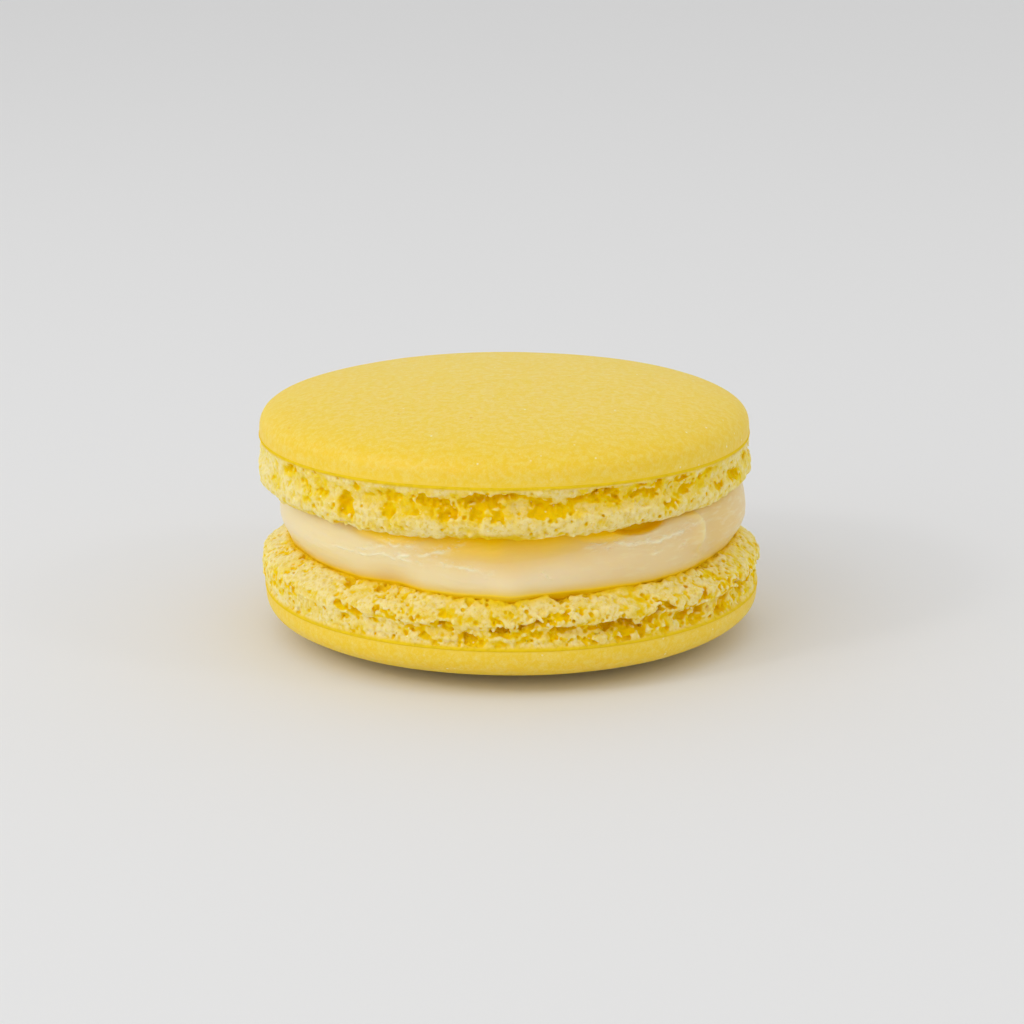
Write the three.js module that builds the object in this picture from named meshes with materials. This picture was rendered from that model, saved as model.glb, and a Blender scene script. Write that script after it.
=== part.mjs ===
// A lemon macaron: two domed almond meringue shells, each with a craggy foot
// round its edge, and a layer of buttercream piped between them.
// Millimetres, +Z up, the origin at the middle of the flat spot it stands on.
// Angles are in degrees from +X, anticlockwise seen from above, so -90 is the front.
import * as THREE from "three";

// ---- Driving dimensions ----

// Each shell is drawn cap up from its rim, the circle where the smooth cap meets
// the crumbly foot. A capBulge of 2 is an ellipse, and less is more conical; a
// larger capShoulder makes a steeper side with a rounder shoulder.
const TOP_SHELL = {
  seed: 7,
  side: 1, // cap up
  capRadius: 22.6, // at the rim
  capHeight: 4.85, // from the rim to the crown
  capBulge: 1.69,
  capShoulder: 3.8,
  flatCut: 0, // taken off the crown
  roundness: [{ waves: 2, towards: -45, size: 0.05 }, { waves: 5, towards: 20, size: 0.05 }],
  footHeight: 4.6,
  wall: [ // [distance out from the cap's edge, share of the foot's height]
    [-0.35, 0.02],
    [-0.15, 0.14],
    [0.02, 0.35],
    [0.12, 0.62],
    [-0.05, 0.84],
    [-0.6, 0.97],
    [-1.6, 1.0],
  ],
  lipTilt: 0.32, // how much higher the lip is on the +X side than in the middle
  lipRagged: 0.13,
  channel: { height: 1.45, halfHeight: 0.95, depth: 0.45 },
};
const BOTTOM_SHELL = {
  seed: 29,
  side: -1, // cap down
  capRadius: 23.0,
  capHeight: 4.32,
  capBulge: 2.66,
  capShoulder: 3.24,
  flatCut: 0.1, // leaves the flat spot that the macaron stands on
  roundness: [{ waves: 2, towards: -45, size: 0.12 }, { waves: 5, towards: 5, size: 0.05 }],
  footHeight: 3.75,
  wall: [
    [-0.35, 0.02],
    [-0.1, 0.14],
    [0.1, 0.38],
    [0.2, 0.62],
    [0.05, 0.83],
    [-0.6, 0.96],
    [-2.0, 1.0],
  ],
  lipTilt: 0,
  lipRagged: 0.05,
  channel: { height: 1.9, halfHeight: 0.6, depth: 0.4 },
};
const TOP_SHELL_SHIFT = -0.55; // along X: the shells aren't quite in line
const FILLING_THICKNESS = 5.75;
const FACE_GAP = 0.08; // between the cream and the flat inner face of each shell

// The cream's side, from its lower edge up: [radius, share of its thickness].
const CREAM_SIDE = [
  [20.15, 0],
  [20.75, 0.05],
  [21.2, 0.17],
  [21.5, 0.34],
  [21.65, 0.52],
  [21.6, 0.68],
  [21.35, 0.84],
  [21.0, 0.95],
  [20.4, 1],
];

// Where the cream swells or draws in: each lobe's angle and half width in
// degrees, how far it moves out, and its height as a share of the thickness.
const CREAM_LOBES = [
  { angle: -92, width: 15, out: 0.75, height: 0.15 },
  { angle: -119, width: 7, out: -0.95, height: 0.12 },
  { angle: -133, width: 9, out: -0.25, height: 0.1 },
  { angle: -155, width: 18, out: -0.55, height: 0.15 },
  { angle: -88, width: 24, out: -1.1, height: 0.92 },
  { angle: -62, width: 7, out: -1.35, height: 0.95 },
  { angle: -57, width: 14, out: 0.15, height: 0.45 },
  { angle: -35, width: 4, out: -0.35, height: 0.6 },
  { angle: -20, width: 11, out: 0.35, height: 0.5 },
  { angle: -18, width: 20, out: -0.75, height: 0.1 },
  { angle: 38, width: 16, out: 0.45, height: 0.45 },
  { angle: 71, width: 12, out: -0.7, height: 0.3 },
  { angle: 104, width: 17, out: 0.4, height: 0.3 },
  { angle: 139, width: 10, out: -0.6, height: 0.7 },
  { angle: 168, width: 14, out: 0.25, height: 0.55 },
];
const LOBE_HALF_HEIGHT = 0.34; // share of the thickness
const CREAM_WAVES = [
  { waves: 3, towards: 10, size: 0.1 },
  { waves: 7, towards: -6, size: 0.07 },
];

// The larger cavities in the front of each foot: [angle, distance from the rim,
// half length, half height, depth]. The rest of the ring is strewn by rule.
const TOP_CAVITIES = [
  [-141, 0.75, 0.8, 0.45, 0.7],
  [-138, 1.4, 0.7, 0.5, 0.5],
  [-127, 2.4, 0.6, 1.0, 0.9],
  [-121, 1.6, 0.9, 0.5, 0.9],
  [-114, 1.4, 1.5, 0.5, 1.0],
  [-116, 2.4, 0.7, 0.5, 0.6],
  [-105, 1.5, 2.2, 0.7, 1.5],
  [-101, 2.2, 1.0, 0.5, 1.1],
  [-94, 1.1, 2.4, 0.85, 1.8],
  [-95, 2.3, 0.7, 0.7, 0.9],
  [-83, 1.6, 1.5, 0.8, 1.8],
  [-76, 1.7, 1.8, 0.65, 1.6],
  [-69, 1.1, 2.2, 0.7, 1.6],
  [-59, 1.3, 1.2, 0.45, 1.0],
  [-45, 1.2, 1.1, 0.6, 1.1],
  [-41, 0.9, 0.6, 0.45, 0.8],
  [-34, 1.7, 0.6, 0.4, 0.6],
];
const BOTTOM_CAVITIES = [
  [-142, 1.9, 0.6, 0.6, 0.5],
  [-129, 1.7, 0.7, 0.5, 0.5],
  [-122, 2.4, 0.8, 0.4, 0.6],
  [-108, 1.0, 0.5, 0.4, 0.5],
  [-104, 2.2, 0.9, 0.5, 1.0],
  [-99, 1.3, 1.5, 0.4, 1.3],
  [-95, 2.8, 1.3, 0.45, 0.9],
  [-91, 1.9, 1.5, 0.45, 1.0],
  [-81, 1.7, 1.3, 0.45, 1.0],
  [-76, 2.0, 1.9, 0.4, 1.2],
  [-70, 0.9, 0.8, 0.4, 0.6],
  [-65, 2.0, 2.3, 0.5, 1.5],
  [-57, 2.3, 1.1, 0.4, 1.2],
  [-46, 1.9, 1.4, 0.5, 1.0],
  [-33, 1.6, 0.7, 0.6, 0.9],
];
const STREWN_ARC = [-26, 210]; // the stretch of each foot that is filled by rule
const CAVITIES_PER_DEGREE = 0.17;

// The foot's crags: two sizes of lump over the whole wall, and a ragged lip.
const LUMP_CELL = 1.7;
const LUMP_HEIGHT = 0.3;
const FINE_LUMP_CELL = 0.85;
const FINE_LUMP_HEIGHT = 0.18;
const LIP_CELL = 1.3;
const RIM_GRIP = 0.35; // share of the crags left where the wall meets the cap

// How finely the surfaces are divided.
const SHELL_SEGMENTS = 132;
const CREAM_SEGMENTS = 96;
const CAP_STEPS = [0, 0.03, 0.12, 0.3, 0.56, 0.9, 1.3, Math.PI / 2];
const FOOT_ROWS = 12;
const CREAM_ROWS = 10;
const INNER_FACE_RADIUS = 18.5; // the craggy lip ends outside this
const ON_AXIS = 0.01;

const SHELL_YELLOW = 0xf0d35a;
const CREAM_IVORY = 0xefdfb4;

// ---- Repeatable randomness ----

// Draws numbers from 0 to 1, the same ones for the same seed.
function randomDraws(seed) {
  let state = seed >>> 0;
  return () => {
    state = (Math.imul(state, 1664525) + 1013904223) >>> 0;
    return state / 2 ** 32;
  };
}

// A repeatable number from -1 to 1 for each point of a lattice.
function latticeValue(i, j, k) {
  let mixed = Math.imul(i, 374761393) + Math.imul(j, 668265263);
  mixed = Math.imul((mixed + Math.imul(k, 1274126177)) | 0, 1103515245);
  mixed = Math.imul(mixed ^ (mixed >>> 15), 2246822519);
  return ((mixed ^ (mixed >>> 13)) >>> 0) / 2 ** 31 - 1;
}

// Smooth noise from -1 to 1 whose lumps are about one cell across.
function lumps(x, y, z, cell) {
  const at = [x / cell, y / cell, z / cell];
  const low = at.map(Math.floor);
  const ease = at.map((value, axis) => THREE.MathUtils.smoothstep(value - low[axis], 0, 1));
  let sum = 0;
  for (let corner = 0; corner < 8; corner += 1) {
    const step = [corner & 1, (corner >> 1) & 1, corner >> 2];
    const shares = step.map((far, axis) => (far ? ease[axis] : 1 - ease[axis]));
    const value = latticeValue(low[0] + step[0], low[1] + step[1], low[2] + step[2]);
    sum += shares[0] * shares[1] * shares[2] * value;
  }
  return sum;
}

// ---- Shared shaping ----

const toRadians = THREE.MathUtils.degToRad;

// The signed angle from b to a, from -PI to PI.
function turn(a, b) {
  return Math.atan2(Math.sin(a - b), Math.cos(a - b));
}

// The sum of a few waves that run round the whole edge.
function wavesAt(waves, angle) {
  return waves.reduce(
    (sum, wave) => sum + wave.size * Math.cos(wave.waves * (angle - toRadians(wave.towards))),
    0,
  );
}

// Turns an outline, listed from the top down, about +Z, and lets
// shape(point, row) move each point that isn't on the axis.
function shapedLathe(outline, segments, shape) {
  const geometry = new THREE.LatheGeometry([...outline].reverse(), segments);
  geometry.rotateX(Math.PI / 2);
  const places = geometry.getAttribute("position");
  const rows = outline.length;
  const point = new THREE.Vector3();
  for (let n = 0; n < places.count; n += 1) {
    const first = segments * rows; // the last column repeats the first one
    point.fromBufferAttribute(places, n < first ? n : n - first);
    if (n < first && Math.hypot(point.x, point.y) > ON_AXIS) shape(point, rows - 1 - (n % rows));
    places.setXYZ(n, point.x, point.y, point.z);
  }
  geometry.computeVertexNormals();
  return geometry;
}

// Moves a point out from the axis by a distance.
function pushOut(point, distance) {
  const radius = Math.hypot(point.x, point.y);
  const scale = (radius + distance) / radius;
  point.x *= scale;
  point.y *= scale;
}

// ---- The shells ----

// The hand-placed cavities, and more of the same kind round the rest of the foot.
function allCavities(placed, spec) {
  const draw = randomDraws(spec.seed);
  const { height: channelHeight, halfHeight: channelHalf } = spec.channel;
  const [start, end] = STREWN_ARC;
  const count = Math.round((end - start) * CAVITIES_PER_DEGREE);
  const strewn = Array.from({ length: count }, (_, n) => {
    const angle = start + ((end - start) * (n + draw())) / count;
    const below = channelHeight + 1.1 * channelHalf * (draw() - 0.5);
    const halfLength = 0.5 + 1.9 * draw() ** 1.5;
    const halfHeight = 0.35 + 0.2 * halfLength * draw();
    const depth = 0.5 + 0.5 * halfLength * (0.4 + draw());
    return [angle, below, halfLength, halfHeight, depth];
  });
  return [...placed, ...strewn];
}

// How far the foot's wall is carved in at an angle and a distance from the rim.
function carving(cavities, spec, angle, below) {
  const fromChannel = (below - spec.channel.height) / spec.channel.halfHeight;
  let deepest = spec.channel.depth * Math.max(0, 1 - fromChannel * fromChannel);
  for (const [degrees, height, halfLength, halfHeight, depth] of cavities) {
    const along = (spec.capRadius * turn(angle, toRadians(degrees))) / halfLength;
    const up = (below - height) / halfHeight;
    const away = along * along + up * up;
    if (away < 1) deepest = Math.max(deepest, depth * Math.sqrt(1 - away));
  }
  return deepest;
}

// The cap's outline from its crown down to the rim.
function capOutline(spec) {
  const crown = spec.capHeight - spec.flatCut;
  return CAP_STEPS.map((step) => {
    const radius = spec.capRadius * Math.cos(step) ** (2 / spec.capBulge);
    const height = spec.capHeight * Math.sin(step) ** (2 / spec.capShoulder);
    return new THREE.Vector2(step === Math.PI / 2 ? 0 : radius, Math.min(height, crown));
  }).reverse();
}

// The foot's outline from under the rim to the edge of its flat inner face.
function footOutline(spec) {
  const knots = spec.wall.map(([out, share]) =>
    new THREE.Vector2(spec.capRadius + out, -share * spec.footHeight));
  return new THREE.SplineCurve(knots).getPoints(FOOT_ROWS);
}

// Gives the foot's wall its crags and cavities, and its lip its ragged height.
function cragWall(point, spec, cavities, angle, grip) {
  const below = -point.z;
  const rough = LUMP_HEIGHT * lumps(point.x, point.y, point.z + spec.seed, LUMP_CELL)
    + FINE_LUMP_HEIGHT * lumps(point.x + spec.seed, point.y, point.z, FINE_LUMP_CELL);
  const ragged = spec.lipRagged * (1 + lumps(point.x, point.y + spec.seed, 0, LIP_CELL));
  const tilt = spec.lipTilt * (1 + Math.cos(angle));
  const towardsLip = THREE.MathUtils.smoothstep(below / spec.footHeight, 0.5, 1);
  pushOut(point, grip * rough - carving(cavities, spec, angle, below));
  point.z += towardsLip * (tilt + ragged);
}

// One closed shell, cap up, with its rim in the plane z = 0.
function shellGeometry(spec, placedCavities) {
  const cap = capOutline(spec);
  const foot = footOutline(spec);
  const innerEdge = new THREE.Vector2(INNER_FACE_RADIUS, -spec.footHeight);
  const innerMiddle = new THREE.Vector2(0, -spec.footHeight);
  const outline = [...cap, ...foot, innerEdge, innerMiddle];
  const cavities = allCavities(placedCavities, spec);
  return shapedLathe(outline, SHELL_SEGMENTS, (point, row) => {
    const angle = spec.side * Math.atan2(point.y, point.x);
    const radius = Math.hypot(point.x, point.y);
    pushOut(point, (wavesAt(spec.roundness, angle) * radius) / spec.capRadius);
    if (row >= cap.length && row < cap.length + foot.length) {
      cragWall(point, spec, cavities, angle, row === cap.length ? RIM_GRIP : 1);
    }
  });
}

// ---- The cream ----

// How far the cream stands out from its plain side.
function creamRelief(angle, share) {
  return CREAM_LOBES.reduce((out, lobe) => {
    const along = turn(angle, toRadians(lobe.angle)) / toRadians(lobe.width);
    const up = (share - lobe.height) / LOBE_HALF_HEIGHT;
    return out + lobe.out * Math.exp(-along * along - up * up);
  }, wavesAt(CREAM_WAVES, angle));
}

function fillingGeometry() {
  const side = CREAM_SIDE.map(([radius, share]) =>
    new THREE.Vector2(radius, share * FILLING_THICKNESS));
  const outline = [
    new THREE.Vector2(0, FILLING_THICKNESS),
    ...new THREE.SplineCurve(side).getPoints(CREAM_ROWS).reverse(),
    new THREE.Vector2(0, 0),
  ];
  return shapedLathe(outline, CREAM_SEGMENTS, (point) => {
    const angle = Math.atan2(point.y, point.x);
    pushOut(point, creamRelief(angle, point.z / FILLING_THICKNESS));
  });
}

// ---- Building ----

function namedMesh(name, geometry, colour, roughness) {
  const material = new THREE.MeshStandardMaterial({ color: colour, roughness, metalness: 0 });
  const mesh = new THREE.Mesh(geometry, material);
  mesh.name = name;
  return mesh;
}

const macaron = new THREE.Group();

// The bottom shell lies upside down, on the flat of its cap.
const bottomRim = BOTTOM_SHELL.capHeight - BOTTOM_SHELL.flatCut;
const bottom = namedMesh(
  "shell_bottom",
  shellGeometry(BOTTOM_SHELL, BOTTOM_CAVITIES),
  SHELL_YELLOW,
  0.75,
);
bottom.rotation.x = Math.PI;
bottom.position.z = bottomRim;

const fillingBase = bottomRim + BOTTOM_SHELL.footHeight + FACE_GAP;
const filling = namedMesh("filling", fillingGeometry(), CREAM_IVORY, 0.4);
filling.position.z = fillingBase;

const topRim = fillingBase + FILLING_THICKNESS + FACE_GAP + TOP_SHELL.footHeight;
const top = namedMesh("shell_top", shellGeometry(TOP_SHELL, TOP_CAVITIES), SHELL_YELLOW, 0.75);
top.position.set(TOP_SHELL_SHIFT, 0, topRim);

macaron.add(bottom, filling, top);

export default macaron;
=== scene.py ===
"""A lemon macaron: crusts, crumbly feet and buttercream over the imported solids.

Shapes are worked out in millimetres, each shell cap up with its rim in the plane
z = 0, and are then placed in the row's frame, in metres. Angles are in degrees
from +X, anticlockwise seen from above, so -90 is the front.
"""
from math import cos, pi, radians, sin
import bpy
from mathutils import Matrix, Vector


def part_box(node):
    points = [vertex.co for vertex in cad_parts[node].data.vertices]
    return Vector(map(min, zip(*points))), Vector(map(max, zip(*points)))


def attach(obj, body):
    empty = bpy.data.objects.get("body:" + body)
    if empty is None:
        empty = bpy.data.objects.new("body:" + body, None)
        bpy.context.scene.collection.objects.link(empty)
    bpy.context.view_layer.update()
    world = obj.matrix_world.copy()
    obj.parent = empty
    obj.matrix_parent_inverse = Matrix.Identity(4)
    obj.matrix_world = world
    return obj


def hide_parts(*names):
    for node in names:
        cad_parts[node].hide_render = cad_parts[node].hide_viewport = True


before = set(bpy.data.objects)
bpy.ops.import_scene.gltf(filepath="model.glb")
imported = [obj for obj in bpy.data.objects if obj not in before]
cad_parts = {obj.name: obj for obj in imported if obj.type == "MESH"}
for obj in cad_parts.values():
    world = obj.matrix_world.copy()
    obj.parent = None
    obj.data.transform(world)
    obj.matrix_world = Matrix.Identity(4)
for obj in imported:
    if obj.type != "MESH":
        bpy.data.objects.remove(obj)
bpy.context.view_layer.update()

from types import SimpleNamespace

import bpy
import numpy as np
import openvdb
from mathutils import Matrix, Vector

MM = 0.001

# ---- Sizes, as in the part's source ----

TOP_SHELL = SimpleNamespace(
    name="top",
    node="shell_top",
    seed=7,
    side=1,  # cap up
    shift=-0.55,
    cap_radius=22.6,
    cap_height=4.85,
    cap_bulge=1.69,
    cap_shoulder=3.8,
    flat_cut=0,
    roundness=[(2, -45, 0.05), (5, 20, 0.05)],  # (waves, towards, size)
    crease=0.1,  # where crust and crumb meet, seen from the rim's plane
    foot_height=4.6,
    wall=[(-0.1, 0.12), (0.02, 0.32), (0.08, 0.62),
          (-0.05, 0.84), (-0.6, 0.97), (-1.6, 1)],  # (out from the rim, share of height)
    lip_tilt=0.64,  # the lip rises on the right
    lip_ragged=0.16,
    crags=(0.55, 0.6, -60),  # (least, most, the angle where it is most)
    channel=(1.6, 0.95, 0.4, -80),  # (distance from the rim, half height, depth, towards)
    pits=(90, 500),  # (pits in the wall, fine pores)
    face_rise=0,
    shade_painted=0.4,  # how far below the crease the crumb has painted golden shade
    shade_about_cavities=0.9,  # how much painted golden shade it has about its cavities
)
BOTTOM_SHELL = SimpleNamespace(
    name="bottom",
    node="shell_bottom",
    seed=29,
    side=-1,  # cap down
    shift=0,
    cap_radius=23,
    cap_height=4.32,
    cap_bulge=2.66,
    cap_shoulder=3.24,
    flat_cut=0.1,
    roundness=[(2, -45, 0.12), (5, 5, 0.05)],
    crease=-0.1,
    foot_height=3.75,
    wall=[(-0.1, 0.2), (0.08, 0.38), (0.15, 0.62),
          (0.05, 0.83), (-0.6, 0.96), (-2, 1)],
    lip_tilt=0,
    lip_ragged=0.05,
    crags=(0.25, 1.15, -55),
    channel=(1.7, 0.65, 0.5, -55),
    pits=(420, 1800),
    face_rise=0.8,  # the crumb rises to meet the cream
    shade_painted=0.5,
    shade_about_cavities=0.4,
)

# Cavities in the front wall of each foot: (angle, distance from the rim, half length,
# half height, depth), and where it isn't level the slope up to the right.
TOP_CAVITIES = [
    (-147, 0.8, 1.1, 0.45, 0.6, 0.2), (-141, 1.5, 0.8, 0.5, 0.5, -0.3),
    (-134, 1.7, 0.57, 0.35, 0.43), (-127, 2.5, 0.69, 1.17, 0.72), (-124, 0.8, 0.46, 0.34, 0.43),
    (-121, 1.59, 0.6, 0.52, 0.55), (-118, 1.21, 0.46, 0.34, 0.59), (-116, 2.44, 0.67, 0.69, 0.64),
    (-114, 1.45, 1.6, 0.5, 0.65, -0.15), (-110, 1.9, 0.6, 0.6, 0.42),
    (-105, 1.75, 1.8, 0.75, 1, -0.3), (-102, 2.4, 0.8, 0.6, 0.85), (-95, 1.4, 2.3, 0.95, 1.14),
    (-96, 2.15, 0.85, 0.85, 0.95), (-90, 2.1, 0.25, 0.25, 0.7), (-88, 1.05, 1.35, 0.65, 0.93),
    (-91, 2.54, 0.39, 0.34, 0.51), (-82, 1.82, 1.46, 0.85, 1.01, -0.1),
    (-78, 1.99, 0.99, 0.57, 0.8), (-74, 1.59, 1.22, 0.65, 0.8, 0.3),
    (-69, 1.15, 1.79, 0.65, 0.93, 0.2), (-66, 1.4, 0.8, 0.62, 0.75), (-58, 1.38, 1.55, 0.45, 0.72),
    (-59, 0.55, 0.83, 0.34, 0.51), (-54, 0.5, 0.52, 0.39, 0.47), (-51, 2.51, 0.67, 0.4, 0.35),
    (-48, 0.6, 1, 0.35, 0.45, 0.1), (-46, 1.75, 1.25, 0.45, 0.5, 0.3),
    (-39, 1.07, 1.59, 0.42, 0.5, 0.25), (-33, 2.2, 1.07, 0.3, 0.4),
]
BOTTOM_CAVITIES = [
    (-158, 2.8, 0.56, 0.49, 0.4), (-150, 1.75, 0.78, 0.47, 0.35), (-141, 1.44, 0.78, 0.35, 0.3),
    (-140, 2.7, 0.67, 0.62, 0.3), (-131, 2.77, 0.55, 0.46, 0.5), (-129, 1.54, 0.62, 0.31, 0.5),
    (-126, 2.21, 0.73, 0.4, 0.6, 0.1), (-121, 1.66, 0.47, 0.25, 0.6),
    (-120, 2.27, 0.67, 0.56, 0.25), (-114, 1.97, 0.43, 0.25, 0.4), (-114, 1.1, 0.43, 0.25, 0.4),
    (-110, 1.7, 1.12, 0.25, 0.5), (-109, 0.97, 0.4, 0.31, 0.6), (-104, 2, 0.78, 0.5, 0.9),
    (-99, 1, 1.25, 0.43, 1.3, -0.3), (-93, 2.57, 0.56, 0.38, 0.5), (-92, 1.6, 1.23, 0.4, 0.9),
    (-86, 2.19, 1.43, 0.4, 0.9, 0.25), (-79, 1.63, 1.76, 0.47, 1.1, 0.1),
    (-72, 1.84, 0.6, 0.34, 0.5), (-68, 1.83, 1.27, 0.75, 1.6), (-64, 1.54, 0.87, 0.62, 1.5),
    (-61, 1.07, 0.56, 0.45, 1), (-58, 2.02, 1.08, 0.5, 1.3, 0.6), (-49, 1.44, 1.1, 0.4, 0.9, 0.1),
    (-44, 1.4, 0.92, 0.62, 1.1, 0.5), (-34, 1.16, 1.24, 0.62, 1.1, 0.6),
    (-28, 1.86, 1.01, 0.19, 0.4, -0.3),
]
CAVITY_LEAN = 0.4  # how far each climbs as it goes in
STREWN_ARC = (-26, 180)
CAVITIES_PER_DEGREE = 0.17
STREWN_FACE_PITS = 260

# Pits in the lower foot's upper face: (angle, radius, half length, half width, depth).
FACE_PITS = [
    (-155, 20.6, 0.5, 0.5, 0.55), (-152, 21.4, 0.3, 0.5, 0.45), (-143, 20.4, 0.3, 0.3, 0.55),
    (-131, 21.1, 0.7, 0.85, 1.05), (-122, 21, 0.75, 0.55, 0.9), (-116, 21.9, 0.55, 0.5, 0.75),
    (-103, 22.5, 0.33, 0.4, 0.4), (-99, 22.2, 0.34, 0.3, 0.3), (-94, 20.9, 1.37, 0.6, 0.7),
    (-79, 21.1, 0.9, 0.9, 0.8), (-72, 20.6, 0.57, 0.4, 0.4), (-72, 21.4, 0.32, 0.4, 0.5),
    (-68, 22.2, 0.28, 0.4, 0.6), (-52, 20.9, 0.48, 0.5, 0.6), (-34, 20.6, 0.34, 0.4, 0.5),
]

CREAM_SIDE = [(20.5, 0), (20.9, 0.05), (21.25, 0.17), (21.5, 0.34), (21.65, 0.52),
              (21.6, 0.68), (21.4, 0.84), (21, 0.95), (20.4, 1)]
CREAM_LOBES = [  # (angle, half width, how far out, share of the thickness)
    (-92, 15, 0.6, 0.15), (-90, 5, 0.6, 0.1), (-119, 7, -1, 0.1), (-133, 9, -0.4, 0.1),
    (-155, 18, -0.9, 0.12), (178, 12, -0.6, 0.25), (-88, 24, -0.85, 0.92),
    (-57, 14, 0.15, 0.45), (-35, 4, -0.35, 0.6), (-20, 11, 0.35, 0.5),
    (-18, 20, -0.75, 0.1), (38, 16, 0.45, 0.45), (71, 12, -0.7, 0.3),
    (104, 17, 0.4, 0.3), (139, 10, -0.6, 0.7), (160, 14, 0.25, 0.55),
]
LOBE_HALF_HEIGHT = 0.34
CREAM_WAVES = [(3, 10, 0.1), (7, -6, 0.07)]
CREAM_LIFT = 0.55  # the cream reaches up to the tilted lip on the right
CREAM_POCKETS = [  # (angle, half width, depth, lowest share of the thickness)
    (-58, 9, 1, 0.83), (24, 9, 0.9, 0.88), (120, 12, 0.8, 0.86), (-170, 8, 0.6, 0.9),
]
CREAM_FOLDS = [  # (angle at the top, lean in degrees, height, lowest share, width)
    (-39.5, 1.5, 0.85, 0.4, 8), (52, -6, 0.35, 0.2, 10), (146, 5, 0.4, 0.3, 12),
]
CREAM_CREASES = [  # (angle, share, half length in degrees, slope, height): fine wrinkles
    (-130, 0.6, 6, 0, 0.08), (-120, 0.62, 7, 0.004, 0.09), (-111, 0.68, 6, 0.009, 0.08),
    (-105, 0.77, 4, 0.02, 0.06), (-104, 0.58, 5, -0.01, 0.08), (-98, 0.52, 4, -0.01, 0.07),
    (-124, 0.7, 4, 0.008, 0.07), (-117, 0.79, 5, -0.004, 0.07), (-114, 0.58, 4, -0.006, 0.08),
    (-67, 0.75, 5, 0, 0.07), (-58, 0.74, 7, 0, 0.09), (-50, 0.76, 5, 0.006, 0.09),
    (-44, 0.8, 4, 0.01, 0.07), (-54, 0.6, 1.5, 0.01, 0.08), (-46, 0.62, 1.5, 0.015, 0.08),
    (-82, 0.45, 1.5, -0.02, 0.07), (40, 0.5, 8, 0.005, 0.08), (75, 0.6, 7, -0.006, 0.08),
    (110, 0.5, 9, 0.004, 0.08), (155, 0.55, 7, -0.008, 0.08),
]
CREAM_LIP_SHADES = [  # (angle, half width in degrees, lowest share): painted golden shade where the lip shades it
    (-92, 22, 0.4), (-118, 12, 0.7), (-68, 8, 0.7),
]
CREAM_LIT_TOWARDS = -140  # the cream is painted palest on this side, as if lit from it
CREAM_FOOT_SHARE = 0.14  # the share of its thickness where it meets the lower crumb

# The rim's edge and what the crumb does behind it: (out from the rim, up from the crease).
CRUST_CURL = [(0, 0.12), (-0.005, 0), (-0.02, -0.12), (-0.12, -0.22), (-0.6, -0.26)]
CRUST_OVERLAP = 0.24  # how far the crumb reaches past the crease, into the crust
CRUMB_TOP = [(-0.4, CRUST_OVERLAP), (0.06, 0), (0.06, -0.15)]
SUGARED_TOWARDS = -38  # the crust has most specks of sugar on this side

# ---- Colours, on the screen's scale from 0 to 255; ramps as (share, colour) ----

CRUST_COLOURS = [(0, (248, 207, 0)), (1, (249, 210, 30))]  # from rim to crown, paler towards the crown as a painted sheen
CRUST_MOTTLE = [(0, (250, 217, 90)), (1, (250, 219, 120))]
CRUST_SUGAR = (253, 243, 205)
# Painted shade of pinholes, which have no depth in the mesh.
CRUST_PINHOLE_SHADE = (240, 182, 0)
# Painted golden shade along the crease, where crust meets crumb.
CRUST_CREASE_SHADE = (249, 211, 40)
CRUMB_COLOURS = [(0, (251, 226, 156)), (0.35, (247, 217, 108)), (0.7, (247, 211, 38)),
                 (1, (252, 205, 0))]  # from the outside to the bottom of the pits; the gold is painted shade
# Painted highlight on the crumb's exposed ridges.
CRUMB_RIDGE_HIGHLIGHT = (251, 229, 172)
# Golden of the small pits, a painted shade since they are only bumps, and of random blots of tone.
CRUMB_DIMPLE = (245, 211, 14)
# Painted highlights: tiny bright specks of sparkle on the crumb.
CRUMB_SPARKLE_HIGHLIGHT = (253, 239, 190)
# Painted golden shade below the crease and where the cream meets the crumb.
CRUMB_JOIN_SHADE = (244, 206, 24)
# Painted light: the cream from its shaded side to its lit side.
CREAM_COLOURS = [(0.3, (237, 208, 138)), (0.8, (244, 223, 180)), (1, (245, 225, 172))]
CREAM_STREAK = (243, 225, 176)
# Painted golden shade on the cream, by its strength.
CREAM_SHADE_COLOURS = [(0.25, (241, 211, 132)), (0.45, (246, 212, 92)), (0.8, (255, 212, 6)),
               (1, (236, 194, 0))]
CREAM_GLINT = (255, 238, 202)
CREAM_GLOW = [(0, (0, 0, 0)), (1, (92, 65, 0))]
FLOOR_GREY = (0.83, 0.83, 0.83, 1)  # linear

# ---- How finely things are made, in millimetres ----

VOXEL = 0.12
FOOT_INNER_RADIUS = 19.3  # inside this the foot is hidden, and closed by flat faces
FOOT_MARGIN = 1.1  # room in the grid outside the rim
FOOT_FACES = 190000
CRUST_SEGMENTS = 560
CRUST_RINGS = 110
CRUST_INNER_RADIUS = 12.0
CREAM_SEGMENTS = 1000
CREAM_ROWS = 92
CREAM_INNER_RADIUS = 15.0
CREAM_MEAN_RADIUS = 21  # for noise over its side

# ---- Relief and unevenness: (height, size of the lumps, and for the foot a seed) ----

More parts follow.
